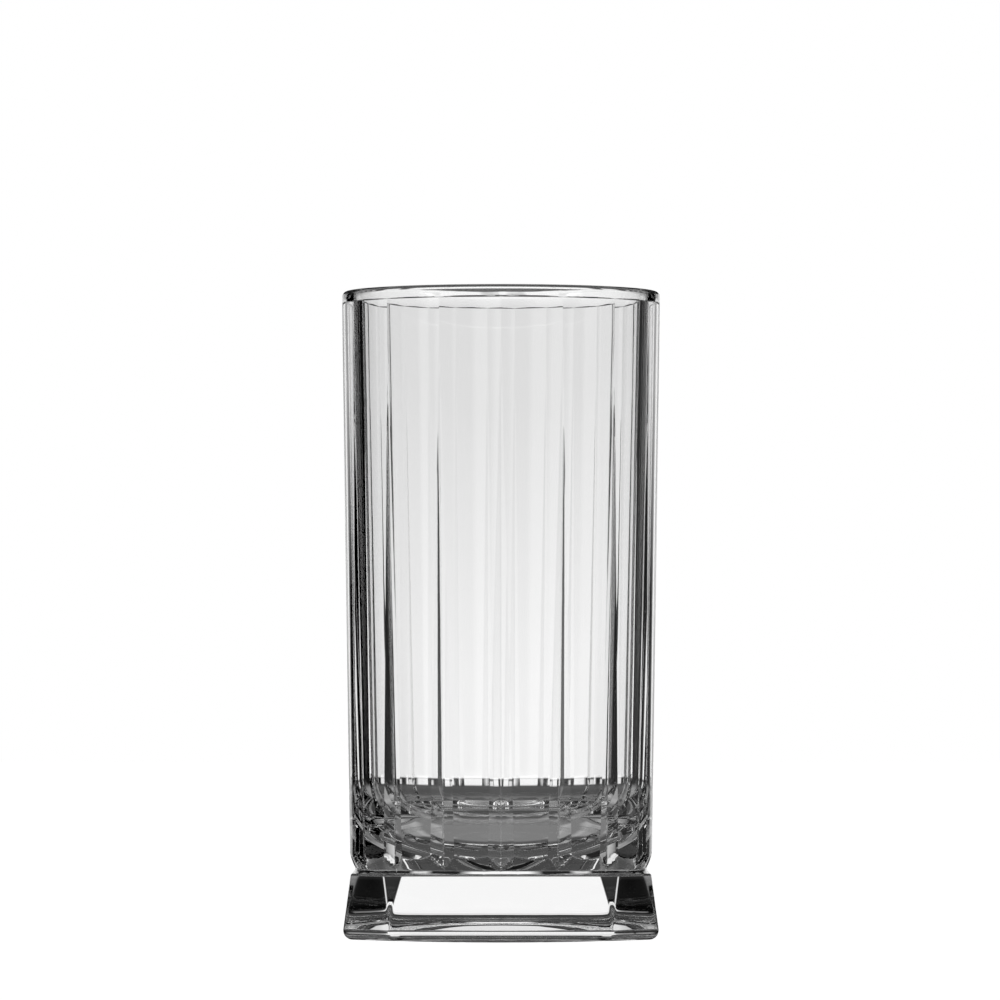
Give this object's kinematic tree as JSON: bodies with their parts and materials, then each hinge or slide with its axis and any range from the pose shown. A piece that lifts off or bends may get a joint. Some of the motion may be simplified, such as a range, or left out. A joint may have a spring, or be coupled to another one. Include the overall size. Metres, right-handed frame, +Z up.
{
  "type": "highball glass",
  "caption": "Tall highball glass in clear pressed glass: round lip, sixteen flat panels parted by long pointed V grooves, a dished floor, a short neck and a heavy, solid square foot with cut corners.",
  "frame": {"origin": "centre of the resting ring, on the surface that the glass stands on", "axes": "+Z up along the axis of the bowl; X and Y square to the four wide sides of the foot; -Y is the side that the picture shows"},
  "size_m": [0.0738, 0.0738, 0.15],
  "materials": {
    "glass": "clear, polished pressed glass"
  },
  "bodies": {
    "root": {"bowl": "glass", "foot": "glass"}
  },
  "joints": []
}
